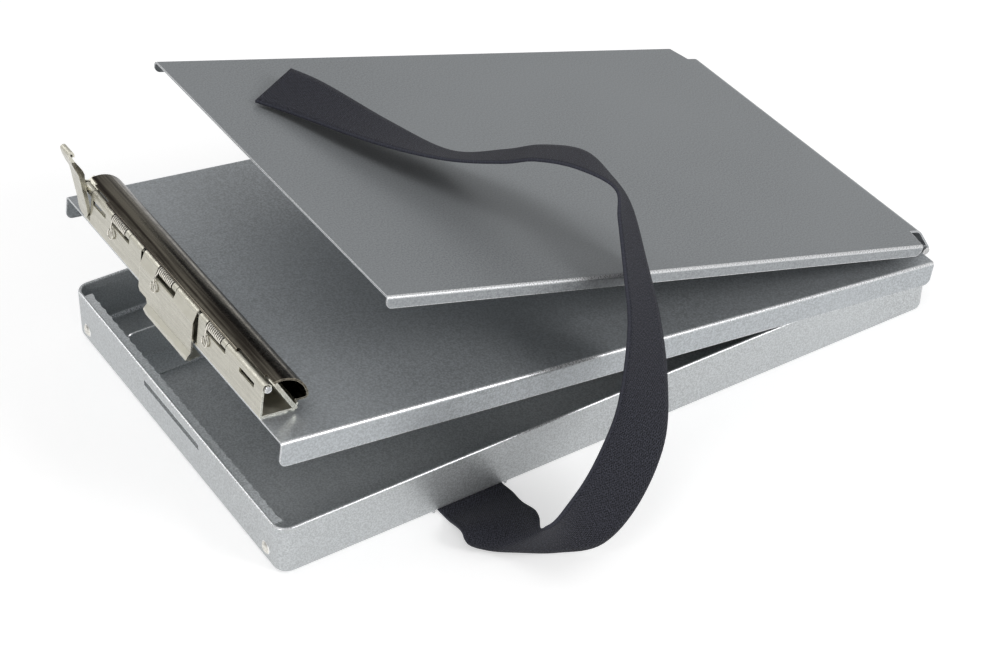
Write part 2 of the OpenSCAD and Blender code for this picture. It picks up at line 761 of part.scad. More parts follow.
module jaw_plate() {
    color("tan") clip_pose() difference() {
        union() {
            from_y(-jaw_l / 2, jaw_l / 2 + lever_y) intersection() {
                union() {
                    on_slope_2d() translate([-jaw_top, jaw_back])
                        square([jaw_end + jaw_top, jaw_t]);
                    on_slope_2d() translate([jaw_end - clip_t, jaw_back])
                        rotate(jaw_slope - jaw_foot_tilt) translate([0, 0.5])
                            square([clip_t, jaw_foot_l]);
                }
                translate([jaw_u, jaw_n]) circle(jaw_r - clip_t - jaw_fit);
            }
            // knuckles on the pin, each with its tab to the plate
            for (k = concat([for (y = spring_y) [y - spring_bay_w / 2 + knuckle_end, knuckle_w]],
                            [[jaw_tube_y, ear_y - jaw_tube_y]])) {
                clip_ring(k[0], k[1]);
                from_y(k[0], k[1])
                    on_slope_2d() translate([-jaw_top, 0]) square([2, jaw_back + clip_t]);
            }
            // ear that carries the lever
            from_y(ear_y, clip_t) intersection() {
                on_slope_2d() translate([-jaw_top, roll_r + 0.2]) square([ear_reach, jaw_back]);
                translate([jaw_u, jaw_n]) circle(jaw_r - clip_t - jaw_fit);
            }
        }
        clip_bore(2 * clip_l);
        for (p = lever_rivet_at) from_y(ear_y - cut, clip_t + 2 * cut)
            translate(p) circle(small_rivet_r + rivet_fit);
        // holes that let the springs' back legs through
        for (y = spring_y)
            from_y(y + spring_bay_w / 2 - coil_end_gap - coil_l - wire_d, 2 * wire_d)
                on_slope_2d() translate([leg_hole_x, jaw_back - cut])
                    square([4, jaw_t + 2 * cut]);
        for (y = jaw_stud_y) jaw_rivet_at(y) translate([0, 0, -jaw_t - cut])
            cylinder(r = small_rivet_r + rivet_fit, h = jaw_t + 2 * cut);
    }
}

// Jaw bar: a curved sheet over the jaw plate, its front edge turned to the rolls
module jaw_bar() {
    mid_r = jaw_r - clip_t / 2;
    lip = [jaw_u, jaw_n] + mid_r * [cos(jaw_lip_angle), sin(jaw_lip_angle)];
    module polar(angle) {
        translate([jaw_u, jaw_n]) rotate(angle) children();
    }
    color("tan") clip_pose() {
        along_y(jaw_l) {
            translate([jaw_u, jaw_n]) intersection() {
                ring_2d(jaw_r, jaw_r - clip_t);
                polygon([[0, 0],
                    2 * jaw_r * [cos(jaw_lip_angle), sin(jaw_lip_angle)],
                    2 * jaw_r * [1, 1],
                    2 * jaw_r * [cos(jaw_brow_angle), sin(jaw_brow_angle)]]);
            }
            // lower edge turned in, parallel to the plate
            translate([lip[0] - jaw_lip_bend, lip[1]]) intersection() {
                ring_2d(jaw_lip_bend + clip_t / 2, jaw_lip_bend - clip_t / 2);
                polygon([[0, 0], [2 * jaw_lip_bend, 2 * jaw_lip_bend * tan(jaw_lip_angle)],
                         [2 * jaw_lip_bend, -2 * jaw_lip_bend], [0, -2 * jaw_lip_bend]]);
            }
            translate([lip[0] - jaw_lip_bend - jaw_return_l,
                       lip[1] - jaw_lip_bend - clip_t / 2])
                square([jaw_return_l + lap, clip_t]);
        }
        along_y(jaw_front_l) polar(jaw_brow_angle) translate([jaw_r - clip_t, -lap])
            square([clip_t, brow_l + lap]);
        from_y(brow_strip_y[0], brow_strip_y[1] - brow_strip_y[0])
            polar(jaw_brow_angle) {
                translate([jaw_r - clip_t, -lap]) square([clip_t, brow_strip_l + lap]);
                translate([mid_r, brow_strip_l]) circle(clip_t * 0.75);
            }
    }
}

// Studs from the jaw plate to the inside of the bar
module jaw_rivets() {
    color("wheat") clip_pose() for (y = jaw_stud_y) {
        jaw_rivet_at(y) translate([0, 0, -jaw_t])
            cylinder(r = small_rivet_r, h = jaw_t);
        intersection() {
            jaw_rivet_at(y) cylinder(r = small_head_r, h = jaw_r);
            along_y(jaw_l) translate([jaw_u, jaw_n]) circle(jaw_r - clip_t - rivet_fit);
        }
    }
}

// Latch: rolled on the pin either side of the middle spring, hangs past the
// plate's front edge and hooks inward through the tray's slot
module latch_2d() {
    t = clip_t;
    down = -latch_drop;
    top = clip_pin_h + 1.6;
    out = latch_out - finger_reach;
    polygon([[pin_u - 2, top], [latch_out, latch_bend_n], [latch_out, -foot_n],
             [out + 0.3, -foot_mid_n + t], [out, -foot_mid_n], [out + 0.5, down + t / 2],
             [latch_in - t / 2, down - t / 4], [nose_reach + latch_in, down + nose_rise],
             [nose_reach + latch_in - t / 4, down + nose_rise + t],
             [latch_in, down + t], [out + t + 0.2, down + t + 0.4],
             [out + t, -foot_mid_n + t / 4], [latch_in, -foot_n + t / 4],
             [latch_in, latch_bend_n + t / 4], [pin_u - 2 + t, top - t / 2]]);
}

// Front view of the latch in Y and n
module latch_front_2d() {
    h = latch_w / 2;
    far = h - latch_step_l;
    polygon([[-h, clip_pin_h + 2 * roll_r], [-h, -foot_mid_n],
             [-h + latch_corner, -foot_mid_n - latch_corner],
             [-h + latch_corner, -2 * latch_drop], [far - latch_corner, -2 * latch_drop],
             [far - latch_corner, -foot_mid_n - latch_corner], [far, -foot_mid_n],
             [far, -foot_n], [far + latch_corner, -latch_step_n],
             [h - latch_corner, -latch_step_n], [h, latch_corner - latch_step_n],
             [h, clip_pin_h + 2 * roll_r]]);
}

module latch() {
    color("lightgray") clip_pose() difference() {
        union() {
            intersection() {
                along_y(latch_w) latch_2d();
                rotate([90, 0, 90]) translate([0, 0, -4 * nose_reach])
                    linear_extrude(8 * nose_reach) latch_front_2d();
            }
            clip_ring(-latch_w / 2, latch_w);
        }
        clip_bore(latch_w + 2 * cut);
        translate([-4 * cut, spring_y[1] - spring_bay_w / 2, spring_floor])
            cube([pin_u + roll_r + 5 * cut, spring_bay_w, clip_pin_h + roll_r + cut]);
    }
}

// Lever: a flanged blade in front of the pin, its foot rounded and its tip curled
// back; the far flange goes back to the pin and is riveted to the jaw's ear.
// Each point: lean, height (of the blade above the pin, of the foot below), depth
lever_line = [[-0.21, -1, 0.5], [-0.245, -0.75, 0.5], [-0.3, -0.45, 0.55],
              [-0.385, -0.11, 0.6], [-0.47, 0.13, 0.65], [-0.55, 0.33, 0.72],
              [-0.64, 0.53, 0.95], [-0.72, 0.62, 1], [-0.8, 0.705, 0.95],
              [-0.94, 0.885, 0.6], [-1, 1, 0.4]];
lever_foot_n = 1.8;
lever_foot_r = 4.5;
lever_roll_r = 1.8;
lever_hook = 0.9;             // how far the curl comes down again
lever_tip_cut = 2.8;          // how much the near side narrows at the tip
lever_tip_l = 9.5;
lever_tab_lap = 1.2;
lever_tab_w = 4.8;
ear_reach = 9.6;
lever_rivet_d = roll_r + 1.7;
lever_rivet_at = [for (x = [2, 6.6])
    [pin_u + x * cos(jaw_slope) + lever_rivet_d * sin(jaw_slope),
     clip_pin_h - x * sin(jaw_slope) + lever_rivet_d * cos(jaw_slope)]];

function lever_at(p) = [pin_u + p[0] * lever_lean,
    clip_pin_h + p[1] * (p[1] < 0 ? clip_pin_h - lever_foot_n : lever_h)];

// Blade's outline in u and n, as deep as the flange or as thick as the sheet
module lever_edge_2d(flange) {
    n = len(lever_line);
    polygon([for (i = [0 : 2 * n - 1]) let (p = lever_line[min(i, 2 * n - 1 - i)])
        lever_at(p) + [i < n ? 0 : flange ? p[2] * lever_d : clip_t, 0]]);
}

module lever() {
    tip = lever_at(lever_line[len(lever_line) - 1]);
    inner_y = lever_y0 + lever_foot_r;
    inner_l = lever_w - 2 * lever_foot_r;
    color("lightgray") clip_pose() difference() {
        intersection() {
            union() {
                from_y(lever_y0, lever_w) {
                    lever_edge_2d(false);
                    translate([tip[0] + lever_roll_r, tip[1]]) intersection() {
                        ring_2d(lever_roll_r, lever_roll_r - clip_t);
                        union() {
                            translate([-lever_roll_r, -lap])
                                square([2 * lever_roll_r, lever_roll_r + lap]);
                            translate([0, -lever_hook])
                                square([lever_roll_r, lever_roll_r]);
                        }
                    }
                }
                from_y(lever_y0, clip_t) lever_edge_2d(true);
                from_y(lever_y, clip_t) {
                    lever_edge_2d(true);
                    polygon([lever_at(lever_line[2]), [pin_u, clip_pin_h - roll_r + 0.1],
                             [pin_u, clip_pin_h + roll_r - 0.1], lever_at(lever_line[5])]);
                    translate([pin_u, clip_pin_h]) circle(roll_r - 0.1);
                    // tab over the jaw's ear
                    intersection() {
                        on_slope_2d() translate([-jaw_top, roll_r - lever_tab_lap])
                            square([ear_reach, lever_tab_w]);
                        translate([jaw_u, jaw_n]) circle(jaw_r - clip_t - jaw_fit);
                    }
                }
            }
            // front view with the rounded foot
            rotate([90, 0, 90]) translate([0, 0, -4 * lever_lean])
                linear_extrude(8 * lever_lean) {
                    translate([lever_y0, lever_foot_n + lever_foot_r])
                        square([lever_w, 4 * lever_h]);
                    translate([inner_y, lever_foot_n]) square([inner_l, 4 * lever_h]);
                    for (y = [inner_y, inner_y + inner_l])
                        translate([y, lever_foot_n + lever_foot_r]) circle(lever_foot_r);
                }
        }
        // near side narrowed at the tip
        rotate([90, 0, 90]) translate([lever_y0, tip[1] + 2 * lever_roll_r, -4 * lever_lean])
            linear_extrude(8 * lever_lean)
                polygon([[-1, 0], [lever_tip_cut, 0], [-1, -lever_tip_l]]);
        clip_bore(2 * clip_l);
        for (p = lever_rivet_at) from_y(lever_y - cut, clip_t + 2 * cut)
            translate(p) circle(small_rivet_r + rivet_fit);
    }
}

module lever_rivets() {
    color("wheat") clip_pose() for (p = lever_rivet_at)
        translate([p[0], lever_y + clip_t, p[1]]) rotate([-90, 0, 0])
            rivet(small_rivet_r, small_head_r - 0.4, small_dome_h, 2 * clip_t, small_rivet_r);
}

// ---------- springs ----------

function unit(v) = v / norm(v);

// Closed skin of a wire of radius r along a path
module wire(path, r) {
    n = len(path);
    t = [for (i = [0 : n - 1]) unit(path[min(i + 1, n - 1)] - path[max(i - 1, 0)])];
    first = unit(cross(t[0], [0.3, 1, 0.2]));
    side = [for (i = 0, v = first; i < n;
                 i = i + 1, v = i < n ? unit(v - (v * t[i]) * t[i]) : v) v];
    ring = [for (i = [0 : n - 1]) for (k = [0 : wire_sides_n - 1])
        path[i] + r * (cos(360 * k / wire_sides_n) * side[i]
                       + sin(360 * k / wire_sides_n) * cross(t[i], side[i]))];
    polyhedron(ring, concat(
        [[for (k = [0 : wire_sides_n - 1]) k]],
        [for (i = [0 : n - 2]) for (k = [0 : wire_sides_n - 1])
            let (a = i * wire_sides_n + k, b = i * wire_sides_n + (k + 1) % wire_sides_n)
                [a, a + wire_sides_n, b + wire_sides_n, b]],
        [[for (k = [wire_sides_n - 1 : -1 : 0]) (n - 1) * wire_sides_n + k]]));
}

// Torsion spring: loop in front, coil on the pin, back leg through the jaw plate
module spring(y_mid, front_u) {
    y1 = y_mid + spring_bay_w / 2 - coil_end_gap;
    y0 = y1 - coil_l;
    loop_r = (loop_w - wire_d) / 2;
    loop_n = clip_pin_h - roll_r - 6;
    down = [sin(jaw_slope), cos(jaw_slope)];
    along = [cos(jaw_slope), -sin(jaw_slope)];
    over = jaw_back + jaw_t + wire_d * 0.7;
    turn = coil_turns * 360;
    loop = [for (a = [30 : 20 : 330]) [front_u, y1 + loop_r * sin(a), loop_n + loop_r * cos(a)]];
    neck = [[front_u, y1 - wire_d * 0.2, loop_n + loop_r + 2],
            [(front_u + pin_u - coil_r) / 2, y1, clip_pin_h - 2]];
    coil = [for (i = [0 : coil_turns * coil_steps_n]) let (a = 180 - i * 360 / coil_steps_n)
        [pin_u + coil_r * cos(a), y1 - i * coil_pitch / coil_steps_n,
         clip_pin_h + coil_r * sin(a)]];
    leg = [for (q = [[0.5, coil_r], [leg_hole_x + 0.6, coil_r], [leg_hole_x + 1.6, jaw_back],
                     [leg_hole_x + 2.2, over], [leg_hole_x + 6, over]])
        [pin_u + q[0] * along[0] + q[1] * down[0], y0,
         clip_pin_h + q[0] * along[1] + q[1] * down[1]]];
    color("gainsboro") clip_pose() wire(concat(loop, neck, coil, leg), wire_d / 2);
}

module spring_near() { spring(spring_y[0], -wire_d / 2 - 0.3); }
module spring_mid() { spring(spring_y[1], latch_out - wire_d / 2 - 0.3); }
module spring_far() { spring(spring_y[2], -wire_d / 2 - 0.3); }

// ---------- strap ----------

module strap() {
    n = len(strap_way);
    function way(list, i) = list[max(0, min(n - 1, i))];
    function smooth(list, i, f) = 0.5 * (2 * way(list, i)
        + f * (way(list, i + 1) - way(list, i - 1))
        + f * f * (2 * way(list, i - 1) - 5 * way(list, i) + 4 * way(list, i + 1)
                   - way(list, i + 2))
        + f * f * f * (3 * way(list, i) - 3 * way(list, i + 1) + way(list, i + 2)
                       - way(list, i - 1)));
    m = (n - 1) * strap_steps_n;
    mid = [for (i = [0 : m]) smooth(strap_way, floor(i / strap_steps_n),
                                    i / strap_steps_n - floor(i / strap_steps_n))];
    turn = [for (i = [0 : m]) unit(smooth(strap_turn, floor(i / strap_steps_n),
                                          i / strap_steps_n - floor(i / strap_steps_n)))];
    face = [for (i = [0 : m])
        unit(cross(mid[min(i + 1, m)] - mid[max(i - 1, 0)], turn[i]))];
    corner = [for (i = [0 : m]) for (c = [[1, 1], [-1, 1], [-1, -1], [1, -1]])
        mid[i] + c[0] * strap_w / 2 * turn[i] + c[1] * strap_t / 2 * face[i]];
    color("dimgray") difference() {
        translate([strap_x, -tray_y, strap_z]) polyhedron(corner, concat(
            [[3, 2, 1, 0]],
            [for (i = [0 : m - 1]) for (k = [0 : 3])
                let (a = 4 * i + k, b = 4 * i + (k + 1) % 4) [a, b, b + 4, a + 4]],
            [[4 * m, 4 * m + 1, 4 * m + 2, 4 * m + 3]]));
        for (s = [-1, 1])
            translate([strap_x + s * strap_rivet_x, strap_rivet_y, -cut])
                cylinder(r = small_rivet_r + rivet_fit, h = chan_h + 2 * cut);
    }
}

module strap_plate() {
    color("gainsboro") difference() {
        translate([strap_x - strap_w / 2, strap_rivet_y - strap_plate_l / 2, chan_h + sheet_t])
            cube([strap_w, strap_plate_l, leaf_t]);
        for (s = [-1, 1])
            translate([strap_x + s * strap_rivet_x, strap_rivet_y, 0])
                cylinder(r = small_rivet_r + rivet_fit, h = 3 * chan_h + tray_h);
    }
}

module strap_rivets() {
    top = chan_h + sheet_t + leaf_t;
    color("wheat") for (s = [-1, 1])
        translate([strap_x + s * strap_rivet_x, strap_rivet_y, top]) {
            rivet_cap(small_head_r, small_dome_h);
            translate([0, 0, -top + strap_z - strap_t / 2])
                cylinder(r = small_rivet_r, h = top - strap_z + strap_t / 2);
        }
}

tray();
front_lip();
lip_rivets();
divider();
divider_rivets();
tray_hinge_leaf();
tray_leaf_rivets();
hinge_pin();
writing_plate();
plate_hinge_leaf();
plate_leaf_rivets();
cover();
clip_base();
base_rivets();
clip_pin();
jaw_plate();
jaw_bar();
jaw_rivets();
spring_near();
spring_mid();
spring_far();
latch();
lever();
lever_rivets();
strap();
strap_plate();
strap_rivets();
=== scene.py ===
"""Storage clipboard box: finishes, springs, strap and stage."""

import math

import bmesh
import bpy
from bpy.props import (
    FloatProperty,
    FloatVectorProperty,
    IntProperty,
    PointerProperty,
)
from mathutils import Matrix, Vector


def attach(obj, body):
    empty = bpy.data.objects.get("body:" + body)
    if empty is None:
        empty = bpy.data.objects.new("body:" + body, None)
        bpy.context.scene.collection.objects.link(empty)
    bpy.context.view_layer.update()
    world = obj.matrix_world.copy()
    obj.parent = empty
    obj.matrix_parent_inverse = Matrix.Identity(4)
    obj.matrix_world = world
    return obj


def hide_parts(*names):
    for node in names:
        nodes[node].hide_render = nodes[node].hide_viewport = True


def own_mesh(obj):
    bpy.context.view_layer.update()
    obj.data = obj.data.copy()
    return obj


bl_info = {
    "name": "Storage clipboard box",
    "version": (1, 0, 0),
    "blender": (4, 5, 0),
    "location": "3D View > Sidebar > Clipboard box",
    "description": "Dresses a storage clipboard box with metal finishes, springs and a strap",
    "category": "Object",
}

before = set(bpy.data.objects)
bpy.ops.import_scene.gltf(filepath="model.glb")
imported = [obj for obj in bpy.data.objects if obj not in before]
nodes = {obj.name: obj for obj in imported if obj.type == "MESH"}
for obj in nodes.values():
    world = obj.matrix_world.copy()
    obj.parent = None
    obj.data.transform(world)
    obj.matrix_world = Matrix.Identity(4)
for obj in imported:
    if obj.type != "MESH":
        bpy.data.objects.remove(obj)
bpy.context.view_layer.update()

MM = 0.001

# Shared places, the same values as the solids are made from
HINGE = Vector((210.4, 0, 31)) * MM
PLATE_FRONT = -207.1 * MM
PLATE_TOP = 32.3 * MM
PLATE_OPEN = math.radians(7.6)
COVER_LIFT = math.radians(9.1)


def turned_about_hinge(angle):
    """The turn that opens a closed panel by an angle."""
    return (
        Matrix.Translation(HINGE)
        @ Matrix.Rotation(angle, 4, "Y")
        @ Matrix.Translation(-HINGE)
    )


CLIP_FRAME = turned_about_hinge(PLATE_OPEN) @ Matrix.Translation(
    (PLATE_FRONT, 0, PLATE_TOP)
)


# ---------- settings ----------


class ClipboxMetalSettings(bpy.types.PropertyGroup):
    tray_colour: FloatVectorProperty(
        name="Tray colour",
        description="Satin aluminium of the tray",
        subtype="COLOR",
        size=3,
        min=0,
        max=1,
        default=(0.55, 0.57, 0.58),
    )
    # One aluminium for plate and cover, in two tones: the cover takes 0.7 of it, so the plate
    # is painted lighter to lift the shade the cover casts on it
    plate_colour: FloatVectorProperty(
        name="Plate colour",
        description="Satin aluminium of the writing plate and the cover",
        subtype="COLOR",
        size=3,
        min=0,
        max=1,
        default=(0.475, 0.50, 0.52),
    )
    # Edge colour: bare metal on cut edges, and a painted highlight along cut edges and bends
    edge_highlight_colour: FloatVectorProperty(
        name="Edge colour",
        description="Bare aluminium on cut edges and sharp bends",
        subtype="COLOR",
        size=3,
        min=0,
        max=1,
        default=(0.85, 0.86, 0.87),
    )
    nickel_colour: FloatVectorProperty(
        name="Nickel colour",
        description="Plating of the clip",
        subtype="COLOR",
        size=3,
        min=0,
        max=1,
        default=(0.53, 0.515, 0.45),
    )
    rivet_colour: FloatVectorProperty(
        name="Rivet colour",
        description="Pale rivet heads",
        subtype="COLOR",
        size=3,
        min=0,
        max=1,
        default=(0.86, 0.84, 0.78),
    )
    grain_size: FloatProperty(
        name="Grain size",
        description="Size of the speckle in the satin metal",
        subtype="DISTANCE",
        unit="LENGTH",
        min=0.0001,
        max=0.003,
        default=0.0009,
    )


class ClipboxSpringSettings(bpy.types.PropertyGroup):
    wire: FloatProperty(
        name="Wire",
        description="Diameter of the spring wire",
        subtype="DISTANCE",
        unit="LENGTH",
        min=0.0006,
        max=0.002,
        default=0.0009,
    )
    turns: FloatProperty(
        name="Turns",
        description="Turns of each coil round the clip's pin",
        min=2,
        max=14,
        default=9.5,
    )


class ClipboxStrapSettings(bpy.types.PropertyGroup):
    width: FloatProperty(
        name="Width",
        description="Width of the strap",
        subtype="DISTANCE",
        unit="LENGTH",
        min=0.02,
        max=0.06,
        default=0.038,
    )
    thickness: FloatProperty(
        name="Thickness",
        description="Thickness of the strap",
        subtype="DISTANCE",
        unit="LENGTH",
        min=0.0008,
        max=0.003,
        default=0.0015,
    )
    colour: FloatVectorProperty(
        name="Colour",
        description="Woven strap, nearly black",
        subtype="COLOR",
        size=3,
        min=0,
        max=1,
        default=(0.014, 0.0145, 0.019),
    )
    threads: IntProperty(
        name="Threads",
        description="Threads across the strap",
        min=8,
        max=80,
        default=24,
    )


class ClipboxStageSettings(bpy.types.PropertyGroup):
    floor_colour: FloatVectorProperty(
        name="Floor colour",
        description="Plain pale floor",
        subtype="COLOR",
        size=3,
        min=0,
        max=1,
        default=(0.78, 0.78, 0.78),
    )
    key_power: FloatProperty(
        name="Key lamp",
        description="Power of the key lamp, which the other lamps follow in proportion",
        subtype="POWER",
        unit="POWER",
        min=0,
        max=500,
        default=14,
    )
    sky_level: FloatProperty(
        name="Sky level",
        description="Level of the soft light from all round",
        min=0,
        max=2,
        default=0.42,
    )


# ---------- small helpers ----------


def new_object(name, data):
    """An object in the scene that shows the data."""
    obj = bpy.data.objects.new(name, data)
    bpy.context.scene.collection.objects.link(obj)
    return obj


def finish_mesh(name, bm):
    """Turns a bmesh into an object and frees it."""
    mesh = bpy.data.meshes.new(name)
    bm.to_mesh(mesh)
    bm.free()
    return new_object(name, mesh)


def new_material(name):
    """A material with its node tree and its one shader."""
    material = bpy.data.materials.new(name)
    material.use_nodes = True
    tree = material.node_tree
    tree.nodes.clear()
    out = tree.nodes.new("ShaderNodeOutputMaterial")
    shader = tree.nodes.new("ShaderNodeBsdfPrincipled")
    tree.links.new(shader.outputs["BSDF"], out.inputs["Surface"])
    return material, tree, shader


def feed(tree, socket, value):
    """Gives a socket its value, or links it where the value is another socket."""
    if isinstance(value, bpy.types.NodeSocket):
        tree.links.new(value, socket)
    else:
        socket.default_value = value


def add(tree, kind, **inputs):
    """Adds a node; an input is a value or a socket to link from."""
    node = tree.nodes.new(kind)
    for key, value in inputs.items():
        feed(tree, node.inputs[key], value)
    return node


def maths(tree, operation, a, b=0.0):
    """One step of arithmetic on two values or sockets."""
    node = tree.nodes.new("ShaderNodeMath")
    node.operation = operation
    feed(tree, node.inputs[0], a)
    feed(tree, node.inputs[1], b)
    return node.outputs[0]


def alignment(tree, a, b):
    """1 where two unit directions agree, 0 where they stand square."""
    node = tree.nodes.new("ShaderNodeVectorMath")
    node.operation = "DOT_PRODUCT"
    feed(tree, node.inputs[0], a)
    feed(tree, node.inputs[1], b)
    return node.outputs["Value"]


def smooth_range(tree, value, low, high, to_low=0.0, to_high=1.0):
    """Eases a value from one range into another; high may be the lower end."""
    node = tree.nodes.new("ShaderNodeMapRange")
    node.interpolation_type = "SMOOTHSTEP"
    tree.links.new(value, node.inputs["Value"])
    node.inputs["From Min"].default_value = low
    node.inputs["From Max"].default_value = high
    node.inputs["To Min"].default_value = to_low
    node.inputs["To Max"].default_value = to_high
    return node.outputs["Result"]


def mixed(tree, factor, a, b):
    """Colour a where factor is 0, b where it is 1."""
    node = tree.nodes.new("ShaderNodeMix")
    node.data_type = "RGBA"
    for index, value in ((0, factor), (6, a), (7, b)):
        feed(tree, node.inputs[index], value)
    return node.outputs[2]


def scaled(colour, k=1.0):
    """The colour made lighter or darker, with its alpha full."""
    return tuple(min(1.0, c * k) for c in colour[:3]) + (1.0,)


def object_coords(tree, turn=0.0, stretch=(1, 1, 1)):
    """Object coordinates, turned about the hinge so that a panel's top is level."""
    texture = tree.nodes.new("ShaderNodeTexCoord")
    centre = add(tree, "ShaderNodeMapping", Vector=texture.outputs["Object"])
    centre.inputs["Location"].default_value = -HINGE
    turned = add(tree, "ShaderNodeMapping", Vector=centre.outputs[0])
    turned.inputs["Rotation"].default_value = (0, -turn, 0)
    scale = add(tree, "ShaderNodeMapping", Vector=turned.outputs[0])
    scale.inputs["Scale"].default_value = stretch
    return scale.outputs[0]


def bare_edge_highlight(tree, radius):
    """1 on cut edges and sharp bends, 0 on the flat: bare metal on the cut edges, and a
    painted highlight along them.
    """
    rounded = tree.nodes.new("ShaderNodeBevel")
    rounded.samples = 6
    rounded.inputs["Radius"].default_value = radius
    geometry = tree.nodes.new("ShaderNodeNewGeometry")
    facing = alignment(tree, rounded.outputs[0], geometry.outputs["Normal"])
    return smooth_range(tree, facing, 0.995, 0.9)


def upward(tree, turn):
    """How far a face looks up from its panel: 1 on the flat, 0 on the flanges."""
    normal = tree.nodes.new("ShaderNodeTexCoord").outputs["Normal"]
    return alignment(tree, normal, (math.sin(turn), 0, math.cos(turn)))


def painted_bend_highlight(tree, turn):
    """1 where a sheet bends down from its top, 0 on the flat and on the flanges: where the
    bend highlight is painted.
    """
    facing = upward(tree, turn)
    rising = smooth_range(tree, facing, 0.2, 0.5)
    falling = smooth_range(tree, facing, 0.99, 0.94)
    return maths(tree, "MULTIPLY", rising, falling)


# ---------- finishes ----------


def satin_aluminium(name, colour, edge, grain, turn=0.0, roughness=0.42):
    """Satin aluminium with a fine speckle, cloudy tone, bare cut edges and a painted highlight
    along edges and bends.
    """
    material, tree, shader = new_material(name)
    coords = object_coords(tree, turn)
    speckle = add(
        tree, "ShaderNodeTexNoise", Vector=coords, Scale=1 / grain, Detail=3.0
    )
    cloud = add(tree, "ShaderNodeTexNoise", Vector=coords, Scale=9.0, Detail=2.0)
    grains = smooth_range(tree, speckle.outputs["Fac"], 0.3, 0.7)
    body = mixed(tree, grains, scaled(colour, 0.76), scaled(colour, 1.22))
    clouds = smooth_range(tree, cloud.outputs["Fac"], 0.3, 0.7, 0.0, 0.35)
    body = mixed(tree, clouds, body, scaled(colour, 1.12))
    # Painted highlight along cut edges and top bends, with bare metal on the cut edges;
    # roughness drops there too
    edges = maths(tree, "MAXIMUM", bare_edge_highlight(tree, 0.0007), painted_bend_highlight(tree, turn))
    body = mixed(tree, edges, body, scaled(edge))
    tree.links.new(body, shader.inputs["Base Color"])
    rough = smooth_range(
        tree, speckle.outputs["Fac"], 0.3, 0.7, roughness - 0.05, roughness + 0.06
    )
    rough = maths(tree, "SUBTRACT", rough, maths(tree, "MULTIPLY", edges, 0.14))
    tree.links.new(rough, shader.inputs["Roughness"])
    shader.inputs["Metallic"].default_value = 0.55
    bump = add(
        tree,
        "ShaderNodeBump",
        Height=speckle.outputs["Fac"],
        Strength=0.12,
        Distance=0.0002,
    )
    tree.links.new(bump.outputs[0], shader.inputs["Normal"])
    return material


def plated_nickel(
    name, colour, dark, streak=(1, 0.02, 1), roughness=0.2, turn=0.0, crest_highlight=0.0
):
    """Bright plating with rolling streaks along the clip, and a painted highlight that makes
    its up-facing faces and upper bends paler.
    """
    material, tree, shader = new_material(name)
    coords = object_coords(tree, turn, streak)
    lines = add(tree, "ShaderNodeTexNoise", Vector=coords, Scale=900.0, Detail=4.0)
    fine = add(
        tree,
        "ShaderNodeTexNoise",
        Vector=object_coords(tree, turn),
        Scale=260.0,
        Detail=3.0,
    )
    tone = smooth_range(tree, lines.outputs["Fac"], 0.38, 0.66)
    body = mixed(tree, tone, scaled(dark), scaled(colour))
    # Painted highlight: faces that look up from the panel, tops and upper bends, are painted
    # paler by up to the crest amount
    crest_highlight_mask = smooth_range(tree, upward(tree, turn), 0.15, 0.45, 0.0, crest_highlight)
    edges = maths(tree, "MAXIMUM", bare_edge_highlight(tree, 0.0006), crest_highlight_mask)
    body = mixed(tree, edges, body, scaled(colour, 1.5))
    tree.links.new(body, shader.inputs["Base Color"])
    rough = smooth_range(
        tree, fine.outputs["Fac"], 0.3, 0.7, roughness - 0.05, roughness + 0.09
    )
    scuffed = maths(tree, "MULTIPLY", crest_highlight_mask, 0.3)
    rough = maths(tree, "ADD", rough, scuffed)
    tree.links.new(rough, shader.inputs["Roughness"])
    shader.inputs["Metallic"].default_value = 1.0
    bump = add(
        tree,
        "ShaderNodeBump",
        Height=lines.outputs["Fac"],
        Strength=0.08,
        Distance=0.0002,
    )
    tree.links.new(bump.outputs[0], shader.inputs["Normal"])
    return material


